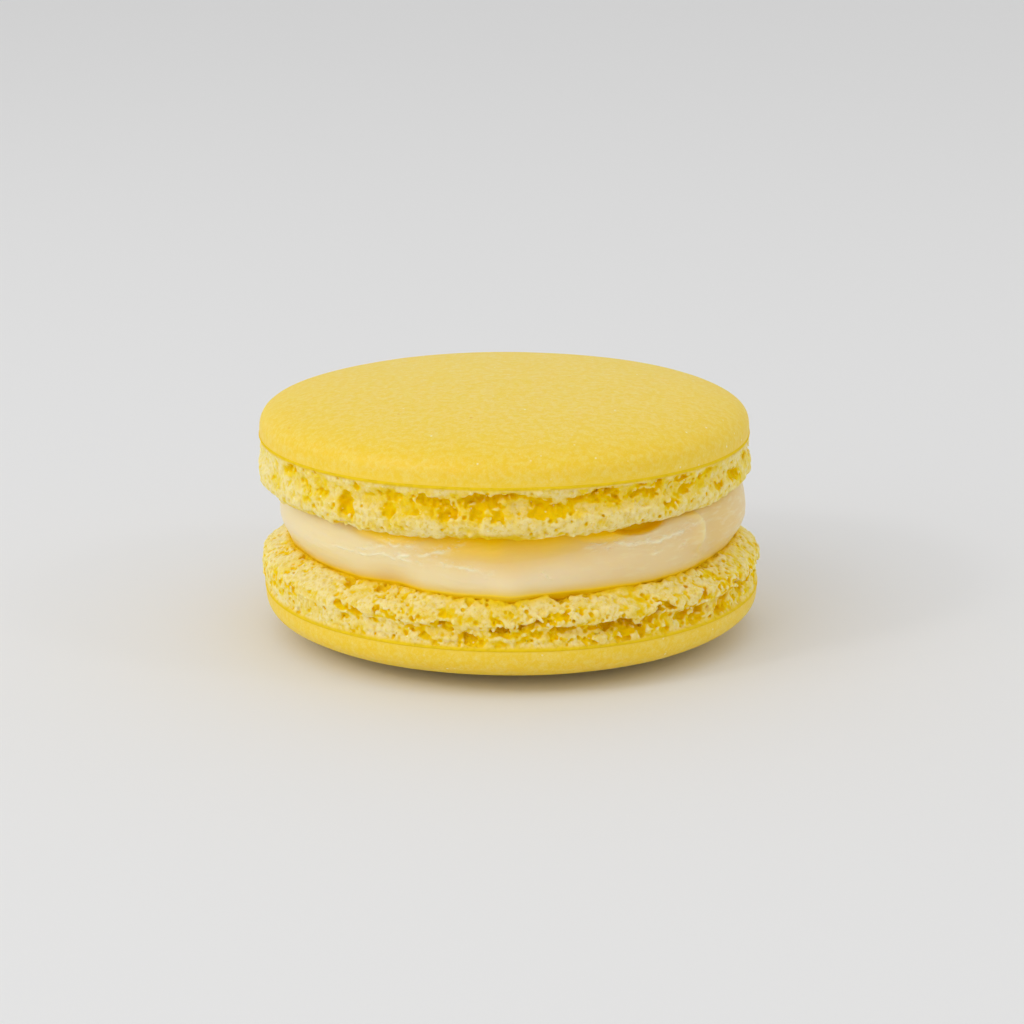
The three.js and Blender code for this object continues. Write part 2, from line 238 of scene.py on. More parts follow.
CRUST_RISE = [(0.055, 7), (0.015, 2.2)]
RIM_WAVE = (0.05, 3.1)
LIP_TEARS = [(0.8, 1.3, 1), (0.9, 0.4, 7)]
CHANNEL_WAVER = [(0.8, 2.5, 2)]  # as shares of the channel's depth
FOOT_SWELLS = [(1, 2.1, 3)]
SWELL_HEIGHT = 0.2
FOOT_CRAGS = [(0.3, 1.05, 4), (0.2, 0.55, 5)]
CRAG_LEVEL = 0.3  # where ridges turn into dips
FOOT_ROUGHNESS = [(0.05, 0.3, 10)]
FOOT_GRAIN = [(0.09, 0.25, 6)]
CAVITY_BENDS = [  # along the wall, up it and into it
    [(0.32, 0.9, 11), (0.22, 0.4, 12)],
    [(0.26, 0.8, 13), (0.2, 0.36, 14)],
    [(0.25, 1, 15), (0.12, 0.4, 16)],
]
CAVITY_TEARS = [(0.16, 0.26, 17), (0.08, 0.5, 18)]
PORE_PATCHES = [(1, 1.9, 8)]
PORE_SIZES = (0.11, 0.22)
PORE_DEPTHS = (-0.1, 0.02)  # of their middles, from the surface
BEND_REACH = 0.8  # no bend moves a cavity further than this
CAVITY_ROUNDING = 0.18
EDGE_ROUNDING = 0.14


# ---- Noise and curves ----

def smoothstep(value, low, high):
    share = np.clip((value - low) / (high - low), 0, 1)
    return share * share * (3 - 2 * share)


def lattice_weights(places, cell):
    """How much each lattice point adds at each place along one axis."""
    at = (places - places.min()) / cell
    low = np.floor(at).astype(int)
    ease = smoothstep(at - low, 0, 1)
    weights = np.zeros((len(places), low.max() + 2), np.float32)
    rows = np.arange(len(places))
    weights[rows, low] = 1 - ease
    weights[rows, low + 1] = ease
    return weights


def grid_noise(axes, cell, seed):
    """Smooth noise from -1 to 1 over a box of places, with lumps about a cell across."""
    weights = [lattice_weights(axis, cell) for axis in axes]
    rng = np.random.default_rng(seed)
    values = rng.uniform(-1, 1, [w.shape[1] for w in weights]).astype(np.float32)
    for weight in weights:  # each pass uses up the first axis and adds a last one
        values = np.tensordot(values, weight, (0, 1))
    return values


def between(values, low, share):
    """The values of a grid at places that lie a share of a step past its points."""
    total = np.zeros(low[0].shape)
    for corner in np.ndindex(2, 2, 2):
        weight = 1.0
        for far, s in zip(corner, share):
            weight = weight * (s if far else 1 - s)
        total += weight * values[tuple(l + far for l, far in zip(low, corner))]
    return total


def point_noise(x, y, z, cell, seed):
    """The same kind of noise at loose points."""
    rng = np.random.default_rng(seed)
    at = [np.asarray(c, float) / cell for c in (x, y, z)]
    low = [np.floor(a).astype(int) for a in at]
    ease = [smoothstep(a - l, 0, 1) for a, l in zip(at, low)]
    low = [l - l.min() for l in low]
    return between(rng.uniform(-1, 1, [l.max() + 2 for l in low]), low, ease)


def waves_at(waves, angle):
    """A few waves that run round the whole edge; angle in radians."""
    return sum(size * np.cos(count * (angle - radians(towards)))
               for count, towards, size in waves)


def turn(a, b):
    """The signed angle from b to a, in radians."""
    return np.arctan2(np.sin(a - b), np.cos(a - b))


def around(angle, radius):
    return radius * np.cos(angle), radius * np.sin(angle)


def spline(knots, steps):
    """A smooth curve through the knots, as Catmull and Rom drew it."""
    knots = np.array(knots, float)
    padded = np.vstack([2 * knots[0] - knots[1], knots, 2 * knots[-1] - knots[-2]])
    at = np.linspace(0, len(knots) - 1, steps)
    low = np.minimum(at.astype(int), len(knots) - 2)
    t = (at - low)[:, None]
    a, b, c, d = (padded[low + n] for n in range(4))
    return 0.5 * (2 * b + (c - a) * t + (2 * a - 5 * b + 4 * c - d) * t ** 2
                  + (3 * b - a - 3 * c + d) * t ** 3)


def resampled(outline, count):
    """The same outline with points at even distances."""
    steps = np.hypot(*np.diff(outline, axis=0).T)
    along = np.concatenate([[0], np.cumsum(steps)])
    places = np.linspace(0, along[-1], count)
    return np.column_stack([np.interp(places, along, outline[:, n]) for n in range(2)])


# ---- Meshes ----

def add_object(name, data):
    made = bpy.data.objects.new(name, data)
    bpy.context.scene.collection.objects.link(made)
    return made


def mesh_object(name, points, faces, smooth=True):
    """A mesh object from points in metres and lists of faces of one size each."""
    mesh = bpy.data.meshes.new(name)
    corners = np.concatenate([f.ravel() for f in faces]).astype(np.int32)
    sizes = np.concatenate([np.full(len(f), f.shape[1]) for f in faces]).astype(np.int32)
    starts = np.concatenate([[0], np.cumsum(sizes)[:-1]]).astype(np.int32)
    mesh.vertices.add(len(points))
    mesh.vertices.foreach_set("co", np.asarray(points, np.float32).ravel())
    mesh.loops.add(len(corners))
    mesh.loops.foreach_set("vertex_index", corners)
    mesh.polygons.add(len(sizes))
    mesh.polygons.foreach_set("loop_start", starts)
    mesh.update(calc_edges=True)
    mesh.validate()
    if smooth:
        mesh.shade_smooth()
    return add_object(name, mesh)


def add_attribute(made, name, values):
    """A number at each vertex, for the material to read."""
    layer = made.data.attributes.new(name, "FLOAT", "POINT")
    layer.data.foreach_set("value", np.asarray(values, np.float32))


def spun(outline, segments):
    """The angle, radius and height of the points that an outline makes round the axis."""
    turns = np.linspace(0, 2 * pi, segments, endpoint=False)
    shape = (len(outline), segments)
    return [np.broadcast_to(v, shape).copy() for v in (turns, outline[:, :1], outline[:, 1:])]


def paint_lathe(made, shape, paints):
    """Attributes of a lathed body: values on its rings, then on its two end points."""
    for name, (values, ends) in paints.items():
        add_attribute(made, name, np.append(np.broadcast_to(values, shape), ends))


def closed_lathe(name, radius, height, angle, place):
    """A closed body from rings of points, each ring a row, with a point at each end."""
    rows = np.stack([*around(angle, radius), height], axis=-1)
    ends = np.array([[0, 0, height[0].mean()], [0, 0, height[-1].mean()]])
    points = place(np.vstack([rows.reshape(-1, 3), ends]))
    here = np.arange(radius.size).reshape(radius.shape)
    ahead = np.roll(here, -1, axis=1)
    sides = np.stack([here[:-1], ahead[:-1], ahead[1:], here[1:]], axis=-1).reshape(-1, 4)
    first, last = (np.full(len(here[0]), radius.size + n) for n in range(2))
    start = np.stack([first, ahead[0], here[0]], axis=-1)
    stop = np.stack([last, here[-1], ahead[-1]], axis=-1)
    return mesh_object(name, points, faced_out(points, [sides, start, stop]))


def faced_out(points, faces):
    """The faces, turned over if the body they close is inside out."""
    volume = 0.0
    for group in faces:
        a = points[group[:, 0]]
        for n in range(1, group.shape[1] - 1):
            b, c = points[group[:, n]], points[group[:, n + 1]]
            volume += np.einsum("ij,ij->i", a, np.cross(b, c)).sum()
    return faces if volume > 0 else [group[:, ::-1] for group in faces]


def shell_place(spec):
    """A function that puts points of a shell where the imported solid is, in metres."""
    low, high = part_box(spec.node)
    crown = (spec.cap_height - spec.flat_cut) * MM
    rim = high.z - crown if spec.side > 0 else low.z + crown

    def place(points):
        turned = points * np.array([1, spec.side, spec.side])
        return turned * MM + np.array([spec.shift * MM, 0, rim])

    return place


# ---- The crust of a shell ----

def cap_outline(spec):
    """From the crown to the rim, then under it to the hidden flat underside."""
    step = np.linspace(pi / 2, 0, 2000)
    radius = spec.cap_radius * np.cos(step) ** (2 / spec.cap_bulge)
    height = spec.cap_height * np.sin(step) ** (2 / spec.cap_shoulder)
    dome = np.column_stack([radius, height])[1:]
    curl = [(spec.cap_radius + out, spec.crease + up) for out, up in CRUST_CURL]
    dome = dome[dome[:, 1] > max(curl[0][1], 0)]
    return dome, spline(curl, 40)


def make_crust(spec):
    dome, curl = cap_outline(spec)
    dome = resampled(dome, CRUST_RINGS)
    dome[:, 1] = np.minimum(dome[:, 1], spec.cap_height - spec.flat_cut)
    outline = np.vstack([dome, resampled(curl, 9), [(CRUST_INNER_RADIUS, curl[-1, 1])]])
    angle, radius, height = spun(outline, CRUST_SEGMENTS)
    world_angle = spec.side * angle
    radius += waves_at(spec.roundness, world_angle) * radius / spec.cap_radius
    x, y = around(angle, radius)
    # The dome is a little uneven, except on the flat spot, and the rim wavers.
    rise = sum(size * point_noise(x, y, height, cell, spec.seed + n)
               for n, (size, cell) in enumerate(CRUST_RISE))
    free = smoothstep(spec.cap_height - spec.flat_cut - height, 0, 0.5) if spec.flat_cut else 1
    on_dome = smoothstep(height, spec.crease, 0.5)
    height += rise * free * on_dome
    wave = point_noise(x, y, 0 * x, RIM_WAVE[1], spec.seed + 3)
    height += RIM_WAVE[0] * wave * (1 - smoothstep(height, 0.2, 1.5))
    crust = closed_lathe("crust_" + spec.name, radius, height, angle, shell_place(spec))
    level = outline[:, 1:]
    crown = smoothstep(level / spec.cap_height, 0.45, 1.0)
    paint_lathe(crust, angle.shape, {
        # painted golden shade along the crease
        "golden_shade": (smoothstep(spec.crease - level, -0.22, 0.0), [0, 1]),
        "crown": (crown, [1, 0]),
        "sugared": (facing(world_angle, SUGARED_TOWARDS, 4) * (1 - crown), [0, 0]),
        "seam": (smoothstep(level, spec.crease + 1.1, spec.crease + 0.3), [0, 1]),
    })
    return crust


# ---- The foot of a shell, carved in a grid of voxels ----

def outline_distance(outline, radius, height):
    """Distance from each place to a closed outline, negative inside it."""
    distance = np.full(radius.shape, np.inf)
    inside = np.zeros(radius.shape, bool)
    for (r0, z0), (r1, z1) in zip(outline, np.roll(outline, -1, axis=0)):
        dr, dz = r1 - r0, z1 - z0
        along = ((radius - r0) * dr + (height - z0) * dz) / (dr * dr + dz * dz)
        along = np.clip(along, 0, 1)
        distance = np.minimum(distance, np.hypot(radius - r0 - along * dr,
                                                 height - z0 - along * dz))
        if dz:
            inside ^= ((z0 > height) != (z1 > height)) & (radius < r0 + (height - z0) * dr / dz)
    return np.where(inside, -distance, distance)


def foot_outline(spec):
    """The foot's section: from inside the crust, down the wall, to the flat face."""
    edge, crease = spec.cap_radius, spec.crease
    knots = [(edge + out, crease + up) for out, up in CRUMB_TOP]
    knots += [(edge + out, -share * spec.foot_height) for out, share in spec.wall]
    wall = spline(knots, 80)
    return np.vstack([[(0, crease + CRUST_OVERLAP)], wall, [(0, -spec.foot_height)]])


def outline_lookup(outline, radii, heights, step=0.04):
    """A function that gives the distance to an outline from a table worked out once."""
    table_r = np.arange(radii[0], radii[1], step)
    table_z = np.arange(heights[0], heights[1], step)
    table = outline_distance(outline, *np.meshgrid(table_r, table_z, indexing="ij"))

    def look_up(radius, height):
        at_r = np.clip((radius - table_r[0]) / step, 0, len(table_r) - 1.001)
        at_z = np.clip((height - table_z[0]) / step, 0, len(table_z) - 1.001)
        low_r, low_z = at_r.astype(np.int32), at_z.astype(np.int32)
        share_r, share_z = at_r - low_r, at_z - low_z
        near = table[low_r, low_z] * (1 - share_z) + table[low_r, low_z + 1] * share_z
        far = table[low_r + 1, low_z] * (1 - share_z) + table[low_r + 1, low_z + 1] * share_z
        return (near * (1 - share_r) + far * share_r).astype(np.float32)

    return look_up


def strewn_cavities(spec):
    """More cavities like the listed ones, round the rest of the foot."""
    state = spec.seed

    def draw():
        nonlocal state
        state = (state * 1664525 + 1013904223) % 2 ** 32
        return state / 2 ** 32

    channel_height, channel_half = spec.channel[:2]
    start, end = STREWN_ARC
    count = round((end - start) * CAVITIES_PER_DEGREE)
    strewn = []
    for n in range(count):
        angle = start + (end - start) * (n + draw()) / count
        below = channel_height + 1.1 * channel_half * (draw() - 0.5)
        half_length = 0.5 + 1.9 * draw() ** 1.5
        half_height = 0.35 + 0.2 * half_length * draw()
        depth = 0.5 + 0.5 * half_length * (0.4 + draw())
        strewn.append((angle, below, half_length, half_height, depth))
    return strewn


def random_pits(rng, count, least, more, *ranges):
    """Pits at random; the ranges are for the angle, place, half width, depth and slope."""
    pits = []
    for _ in range(count):
        size = least + more * rng.uniform() ** 2
        angle, place, width, depth, *slope = [rng.uniform(*ends) for ends in ranges]
        pits.append((angle, place, size, size * width, size * depth, *slope))
    return pits


def small_pits(spec, rng):
    """Shallow pits all over the wall, as in cavities."""
    return random_pits(rng, spec.pits[0], 0.16, 0.34, (-180, 180),
                       (0.35, spec.foot_height - 0.1), (0.5, 0.9), (0.4, 0.8), (-0.4, 0.6))


def face_pits(spec, rng):
    """Pits in the face that the cream lies on, where it shows."""
    return (FACE_PITS if spec.side < 0 else []) + random_pits(
        rng, STREWN_FACE_PITS, 0.1, 0.3, (-180, 180), (19.5, spec.cap_radius - 0.3),
        (0.6, 1.2), (0.7, 1.4))


def stamp_balls(field, balls, axes):
    """Lowers the field to the distance from the nearest ball's surface."""
    for *centre, size in balls:
        reach = size + 3 * VOXEL
        window = []
        for axis, at in zip(axes, centre):
            low = max(0, int((at - reach - axis[0]) / VOXEL))
            window.append(slice(low, int((at + reach - axis[0]) / VOXEL) + 2))
        dx, dy, dz = np.ix_(*[axis[part] - at for axis, part, at in zip(axes, window, centre)])
        away = np.sqrt(dx ** 2 + dy ** 2 + dz ** 2) - size
        part = field[tuple(window)]
        np.minimum(part, away, out=part)


def balls_by_surface(field, allowed, axes, rng, count, depths, sizes):
    """Balls whose middles lie in a thin layer about the surface."""
    pick = np.flatnonzero((field > depths[0]) & (field < depths[1]) & allowed)
    chosen = rng.choice(pick, min(count, len(pick)), replace=False)
    places = np.unravel_index(chosen, field.shape)
    spots = [axis[at] + rng.uniform(-0.5, 0.5, len(at)) * VOXEL
             for axis, at in zip(axes, places)]
    radii = sizes[0] + (sizes[1] - sizes[0]) * rng.uniform(0, 1, len(chosen)) ** 2
    return list(zip(*spots, radii))


def carve(hollow, columns, spec, up, pits, on_face):
    """Lowers the field to the distance from each pit, an ellipsoid that noise has bent."""
    angle, radius, (swing, climb, sink) = columns
    edge = spec.cap_radius
    for pit in pits:
        degrees, place, half_length, half_width, depth, slope = (*pit, 0)[:6]
        along = turn(angle, radians(degrees)) * edge
        close = abs(along) < half_length + BEND_REACH
        if on_face:
            close &= abs(radius - place) < half_width + BEND_REACH
        else:
            close &= radius > edge - depth - BEND_REACH
        near = np.flatnonzero(close)
        bent = along[near, None] + swing[near]
        if on_face:
            other = radius[near, None] - place + climb[near]
            inward = up[None, :] + spec.foot_height + spec.face_rise + sink[near]
        else:
            inward = edge - radius[near, None] + sink[near]
            other = spec.side * (up[None, :] + place) - slope * along[near, None] + climb[near]
            other = other - CAVITY_LEAN * inward
        away = np.sqrt((bent / half_length) ** 2 + (other / half_width) ** 2
                       + (inward / depth) ** 2)
        least = min(half_length, half_width, depth)
        hollow[near] = -smooth_most(-hollow[near], (1 - away) * least, CAVITY_ROUNDING)


def facing(angle, towards, power):
    """1 on the side that faces that way, falling to 0 on the far side."""
    return (0.5 + 0.5 * np.cos(angle - radians(towards))) ** power


def smooth_most(a, b, ease):
    """The larger of two fields, rounded off where they meet."""
    share = np.clip(0.5 + 0.5 * (a - b) / ease, 0, 1)
    return b + (a - b) * share + ease * share * (1 - share)


def foot_field(spec, placed):
    """The foot as a grid of distances to its surface, negative inside.

    Also gives the field before anything was carved out of it, and the distance to what was.
    """
    seed = spec.seed
    rng = np.random.default_rng(seed)
    reach = spec.cap_radius + FOOT_MARGIN
    top = spec.crease + CRUST_OVERLAP
    across = np.arange(-reach, reach, VOXEL)
    up = np.arange(top, -spec.foot_height - spec.face_rise - 8 * VOXEL, -VOXEL)[::-1]
    up = np.append(up, up[-1] + VOXEL)
    axes = (across, across, up)
    x, y = np.meshgrid(across, across, indexing="ij")
    out = np.hypot(x, y)
    ring = (out > FOOT_INNER_RADIUS - 0.4) & (out < reach)
    angle, radius = spec.side * np.arctan2(y, x)[ring], out[ring]

    def noise(parts, grid=axes):
        """The sum of noise of several sizes, each (height, size of the lumps, seed)."""
        return sum(size * grid_noise(grid, cell, seed * 100 + offset)[ring]
                   for size, cell, offset in parts)

    # The lip is tilted and ragged, and the face rises to the cream: this shifts the heights.
    to_lip = smoothstep(-up / spec.foot_height, 0.5, 1)
    ragged = noise(LIP_TEARS, (across, across))
    shift = spec.lip_tilt * smoothstep(np.cos(angle), 0.1, 0.9) + spec.lip_ragged * ragged
    shift *= smoothstep(radius, 19.2, 21.0)
    cream = cream_radius(angle, CREAM_FOOT_SHARE)
    slope_width = 1.3 + 1.3 * smoothstep(spec.cap_radius - cream, 1.5, 2.8)
    shift -= spec.face_rise * smoothstep((radius - cream) / slope_width, 1, 0)
    height = up[None, :] - to_lip[None, :] * shift[:, None]
    channel_height, channel_half, channel_depth, channel_towards = spec.channel
    channel = channel_depth * np.clip(1 - ((-up - channel_height) / channel_half) ** 2, 0, 1)
    plain = radius - waves_at(spec.roundness, angle) * radius / spec.cap_radius
    channel = channel[None, :] * facing(angle, channel_towards, 2)[:, None]
    wall_radius = plain[:, None] + channel * (1 + noise(CHANNEL_WAVER))
    look_up = outline_lookup(foot_outline(spec), (FOOT_INNER_RADIUS - 1.5, reach + 1.5),
                             (up[0] - 1.2, up[-1] + 0.5))

    # Crags keep off the hidden flat faces and fade near the rim.
    least, most, towards = spec.crags
    share = facing(angle, towards, 2)
    craggy = (smoothstep(radius, 19.5, 20.4)[:, None]
              * smoothstep(spec.crease - up, 0.15, 0.5)[None, :])
    skin = look_up(wall_radius, height) - craggy * SWELL_HEIGHT * noise(FOOT_SWELLS)
    relief = sum(size * (abs(noise([(1, cell, offset)])) - CRAG_LEVEL)
                 for size, cell, offset in FOOT_CRAGS)
    relief = (relief + noise(FOOT_ROUGHNESS)) * (least + (most - least) * share)[:, None]
    relief += noise(FOOT_GRAIN)

    # Cavities and pits are bent by noise, so that their edges come out ragged.
    bends = [noise(parts) for parts in CAVITY_BENDS]
    columns = (angle, radius, bends)
    hollow = np.ones_like(skin)
    carve(hollow, columns, spec, up, placed + strewn_cavities(spec), False)
    cavities = hollow.copy()
    columns = (angle, radius, [0.8 * bend for bend in bends])
    carve(hollow, columns, spec, up, small_pits(spec, rng), False)
    carve(hollow, columns, spec, up, face_pits(spec, rng), True)
    hollow += craggy * noise(CAVITY_TEARS)
    hollow += 2 * smoothstep(spec.crease - up, 0.3, 0.1)  # nothing opens at the crease
    inside = smoothstep(-cavities, -0.1, 0.2)
    part = smooth_most(skin - craggy * relief * (1 - 0.6 * inside), -hollow, EDGE_ROUNDING)

    field = np.where(out < reach - 1, -1.0, 1.0).astype(np.float32)
    field = np.repeat(field[:, :, None], len(up), axis=2)
    uncarved, carved = field.copy(), np.ones_like(field)
    field[ring] = part
    uncarved[ring] = skin
    carved[ring] = hollow

    # Fine pores open in patches of the outer skin, not inside the cavities.
    porous = np.zeros(field.shape, bool)
    porous[ring] = (craggy > 0.5) & (skin > -0.3) & (noise(PORE_PATCHES) > -0.15)
    pores = np.ones_like(field)
    stamp_balls(pores, balls_by_surface(field, porous, axes, rng, spec.pits[1],
                                        PORE_DEPTHS, PORE_SIZES), axes)
    field = np.maximum(field, -pores)
    # Walls too thin to stand are taken away.
    field = np.maximum(field, blurred(field, 1) - 0.03)
    return field, uncarved, carved, axes


def sample(field, axes, points):
    """The field at points, between its grid places."""
    at = [np.clip((points[:, n] - axes[n][0]) / VOXEL, 0, len(axes[n]) - 1.001) for n in range(3)]
    low = [a.astype(int) for a in at]
    return between(field, low, [a - l for a, l in zip(at, low)])


def blurred(values, reach):
    """The mean over a cube about each place."""
    for axis in range(3):
        padded = np.concatenate([np.repeat(values.take([0], axis), reach + 1, axis), values,
                                 np.repeat(values.take([-1], axis), reach, axis)], axis)
        total = np.cumsum(padded, axis, dtype=np.float32)
        count = values.shape[axis]
        ahead = total.take(range(2 * reach + 1, 2 * reach + 1 + count), axis)
        values = (ahead - total.take(range(count), axis)) / (2 * reach + 1)
    return values


def main_body(count, edges):
    """Which of the points belong to the largest joined body."""
    label, fresh = None, np.arange(count)
    while not np.array_equal(fresh, label):
        label = fresh.copy()
        low = label[edges].min(axis=1)
        for end in edges.T:
            np.minimum.at(fresh, end, low)
        fresh = fresh[fresh]
    return label == np.bincount(label).argmax()


def tidy_faces(points, faces, keep):
    """The kept faces, and only the points that they use."""
    faces = [group[keep[group].all(axis=1)] for group in faces]
    used = np.zeros(len(points), bool)
    for group in faces:
        used[group] = True
    fresh = np.cumsum(used) - 1
    return points[used], [fresh[group] for group in faces]


def edge_pairs(faces):
    """The two points of each edge of each face."""
    return np.vstack([np.stack([group, np.roll(group, -1, axis=1)], axis=-1).reshape(-1, 2)
                      for group in faces])


def open_loops(faces):
    """The loops of edges that only one face has, each as a list of points in order."""
    seen = set(map(tuple, edge_pairs(faces).tolist()))
    ahead = {b: a for a, b in seen if (b, a) not in seen}
    loops = []
    while ahead:
        start, step = next(iter(ahead.items()))
        loop = [start]
        del ahead[start]
        while step != start:
            loop.append(step)
            step = ahead.pop(step)
        loops.append(loop)
    return loops


def thinned(made, most):
    """Leaves at most so many triangles in a mesh, where it curves least."""
    count = sum(len(face.vertices) - 2 for face in made.data.polygons)
    fewer = made.modifiers.new("fewer", "DECIMATE")
    fewer.ratio = min(1.0, most / count)
    graph = bpy.context.evaluated_depsgraph_get()
    mesh = bpy.data.meshes.new_from_object(made.evaluated_get(graph))
    made.modifiers.clear()
    made.data = mesh


def crumb_recess_shade_and_mottle(spec, depth, hollow, points):
    """How golden the crumb is painted, from 0 to 1: painted shade most in the pits, less about
    them and along the channel, with a random mottle.
    """
    x, y, z = points.T
    patchy = 0.5 + 0.5 * point_noise(x, y, z, 2.2, 71)
    about = spec.shade_about_cavities * smoothstep(hollow, 0.5, 0.0) * (0.25 + 0.75 * patchy)
    # Painted golden shade along the channel.
    middle, half, _, towards = spec.channel
    band = np.clip(1 - ((-z - middle) / (1.1 * half)) ** 2, 0, 1)
    band = band * facing(spec.side * np.arctan2(y, x), towards, 2)
    band = band * (0.25 + 0.4 * point_noise(x, y, z, 1.4, 74))
    recess_shade_and_mottle = np.maximum(1.3 * smoothstep(depth, 0.0, 0.22), np.maximum(about, band))
    mottle = 0.25 * point_noise(x, y, z, 0.9, 75) + 0.25 * point_noise(x, y, z, 0.45, 76)
    return np.clip(recess_shade_and_mottle + mottle * np.clip(1 - recess_shade_and_mottle, 0, 1), 0, 1.3)


def make_foot(spec, placed):
    field, uncarved, carved, axes = foot_field(spec, placed)
    grid = openvdb.FloatGrid(1.0)
    grid.copyFromArray(np.ascontiguousarray(field))
    points, triangles, quads = grid.convertToPolygons(0.0, 0.0)
    points = points * VOXEL + np.array([axis[0] for axis in axes])
    faces = [f.astype(int) for f in (triangles, quads) if len(f)]
    faces = faced_out(points, faces)
    points, faces = tidy_faces(points, faces, main_body(len(points), edge_pairs(faces)))
    # The hidden faces, inside the crust and under the cream, become flat discs.
    x, y, z = points.T
    shown = ((np.hypot(x, y) > FOOT_INNER_RADIUS)
             & (z < spec.crease + CRUST_OVERLAP - 0.7 * VOXEL))
    points, faces = tidy_faces(points, faces, shown)
    caps = [np.array([loop]) for loop in open_loops(faces) if len(loop) > 100]
    foot = mesh_object("crumb_" + spec.name, points, faces + caps)
    thinned(foot, FOOT_FACES)
    mesh = foot.data
    points = np.empty(len(mesh.vertices) * 3, np.float32)
    mesh.vertices.foreach_get("co", points)
    points = points.reshape(-1, 3).astype(float)
    solid = blurred((field < 0).astype(np.float32), 2)
    depth, hollow = -sample(uncarved, axes, points), sample(carved, axes, points)
    add_attribute(foot, "recess_shade_and_mottle", crumb_recess_shade_and_mottle(spec, depth, hollow, points))
    add_attribute(foot, "nook", sample(solid, axes, points))
    x, y, z = points.T
    to_crease = spec.crease - z
    angle = spec.side * np.arctan2(y, x)
    past_cream = np.hypot(x, y) - cream_radius(angle, CREAM_FOOT_SHARE)
    on_face = smoothstep(-z, spec.foot_height - 0.9, spec.foot_height - 0.3)
    # Painted golden shade: below the crease, under the crust's rim, and where the cream meets the
    # face.
    golden_shade = (smoothstep(to_crease, spec.shade_painted, 0.4 * spec.shade_painted)
             + on_face * smoothstep(past_cream, 0.7, 0.1))
    add_attribute(foot, "golden_shade", np.clip(golden_shade, 0, 1))
    seam = smoothstep(to_crease, 0.6, 0.2) + on_face * smoothstep(past_cream, 0.7, 0.2)
    add_attribute(foot, "seam", np.clip(seam, 0, 1))
    mesh.vertices.foreach_set("co", shell_place(spec)(points).astype(np.float32).ravel())
    mesh.update()
    mesh.shade_smooth()
    mesh.set_sharp_from_angle(angle=radians(75))
    return foot


# ---- The buttercream ----

def cream_lobes(angle, share):
    """How far the cream's side bulges out or in; angle in radians."""
    out = waves_at(CREAM_WAVES, angle)
    for degrees, width, bulge, middle in CREAM_LOBES:
        along = turn(angle, radians(degrees)) / radians(width)
        up = (share - middle) / LOBE_HALF_HEIGHT
        out = out + bulge * np.exp(-along * along - up * up)
    return out


def cream_radius(angle, share):
    """The cream's radius at a share of its thickness."""
    radii, shares = zip(*CREAM_SIDE)
    return np.interp(share, shares, radii) + cream_lobes(angle, share)


def cream_pockets(angle, share):
    """Pockets where the cream doesn't reach the shell above it."""
    total = 0.0
    for degrees, width, depth, lowest in CREAM_POCKETS:
        along = turn(angle, radians(degrees)) / radians(width)
        edge = lowest + 0.12 * along ** 2
        total = total - depth * smoothstep(share, edge, edge + 0.05) * np.exp(-along ** 4)
    return total


def cream_folds(angle, share):
    """Folds: the cream on one side of a slanting line stands proud of the other.

    Also gives where their edges catch the light, from 0 to 1, for a painted highlight.
    """
    total, edges = 0.0, 0.0
    wander = 0.012 * point_noise(0 * share, 0 * share, 5 * share, 1.0, 58)
    for degrees, lean, height, lowest, width in CREAM_FOLDS:
        line = radians(degrees) + radians(lean) * (1 - share) + wander
        behind = -turn(angle, line) / radians(width)
        face = smoothstep(behind, -0.05, 0.05) * np.exp(-np.clip(behind, 0, None) ** 2 * 4)
        rise = smoothstep(share, lowest, lowest + 0.3)
        total = total + height * face * rise
        edges = edges + rise * np.exp(-((behind - 0.06) * width / 0.7) ** 2)
    return total, edges


def cream_creases(angle, share):
    """Fine ridges that waver and break off, and the wrinkled skin about them, 0 to 1."""
    ridges, skin = 0.0, 0.0
    x, y = around(angle, CREAM_MEAN_RADIUS)
    wander = 0.03 * point_noise(x, y, 0 * x, 0.9, 55) + 0.012 * point_noise(x, y, 0 * x, 0.3, 56)
    broken = 0.5 + 0.7 * point_noise(x, y, 8 * share, 0.5, 57)
    for degrees, middle, half, slope, height in CREAM_CREASES:
        along = np.degrees(turn(angle, radians(degrees)))
        off = share - middle - slope * along + wander
        ends = np.exp(-(along / half) ** 4)
        ridges = ridges + height * broken * ends * np.exp(-(off / 0.02) ** 2)
        skin = np.maximum(skin, ends * np.exp(-((off - 0.01) / 0.06) ** 2))
    return np.clip(ridges, 0, None), skin


def cream_ripples(angle, height):
    """Swells and fine wrinkles that run along the cream's side."""
    x, y = around(angle, CREAM_MEAN_RADIUS)
    wander = point_noise(x, y, height, 4.0, 51)
    soft = 0.08 * point_noise(x, y, height * 2.0, 3.2, 52)
    level = height * 4 + 3 * wander
    fine = 0.04 * abs(point_noise(x, y, level, 1.6, 53)) + 0.02 * point_noise(x, y, level, 0.7, 54)
    return soft + fine * smoothstep(wander, -0.1, 0.6)


